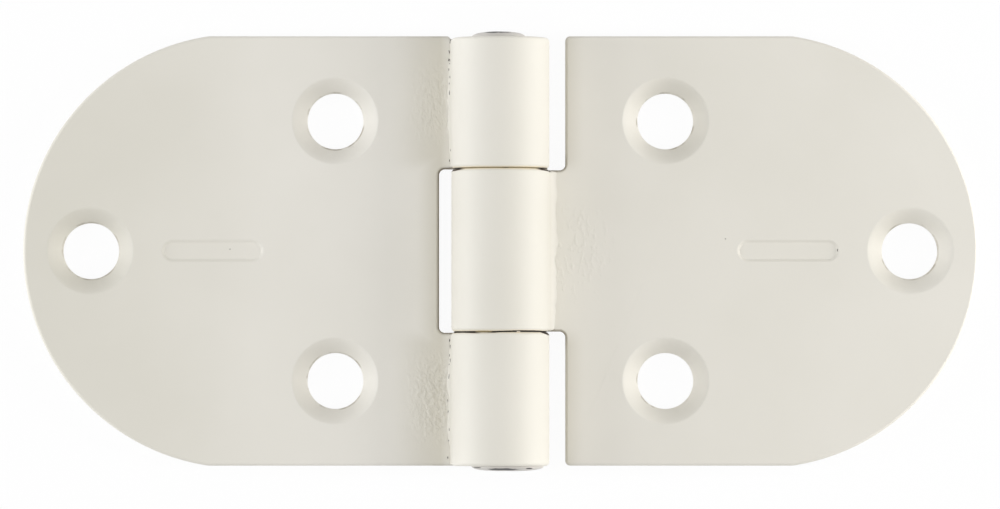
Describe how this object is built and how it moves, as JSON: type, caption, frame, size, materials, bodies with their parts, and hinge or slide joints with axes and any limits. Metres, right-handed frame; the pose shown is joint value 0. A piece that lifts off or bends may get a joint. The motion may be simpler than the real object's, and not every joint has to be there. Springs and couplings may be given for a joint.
{
  "type": "flag hinge",
  "caption": "Hinge of cream painted sheet steel: leaves with half-round ends and countersunk screw holes, rolled into interleaved knuckles round a fixed pin with peened ends.",
  "frame": {"origin": "on the flat back of the leaves, straight below the middle of the pin", "axes": "+X across the leaves from the two-knuckle leaf to the one-knuckle leaf, +Y along the pin, +Z out of the front where the knuckles stand up"},
  "size_m": [0.08, 0.0368, 0.0082],
  "materials": {
    "cream_paint": "satin baked enamel on sheet steel",
    "pin_steel": "drawn steel rod, ends peened and thinly painted"
  },
  "bodies": {
    "fixed_leaf": {"two_knuckle_leaf": "cream_paint", "hinge_pin": "pin_steel"},
    "swinging_leaf": {"one_knuckle_leaf": "cream_paint"}
  },
  "joints": [
    {"name": "leaf_swing", "type": "hinge", "parent": "fixed_leaf", "child": "swinging_leaf", "pos_m": [0, 0, 0.00409], "axis": [0, -1, 0], "range_deg": [-100, 184]}
  ]
}
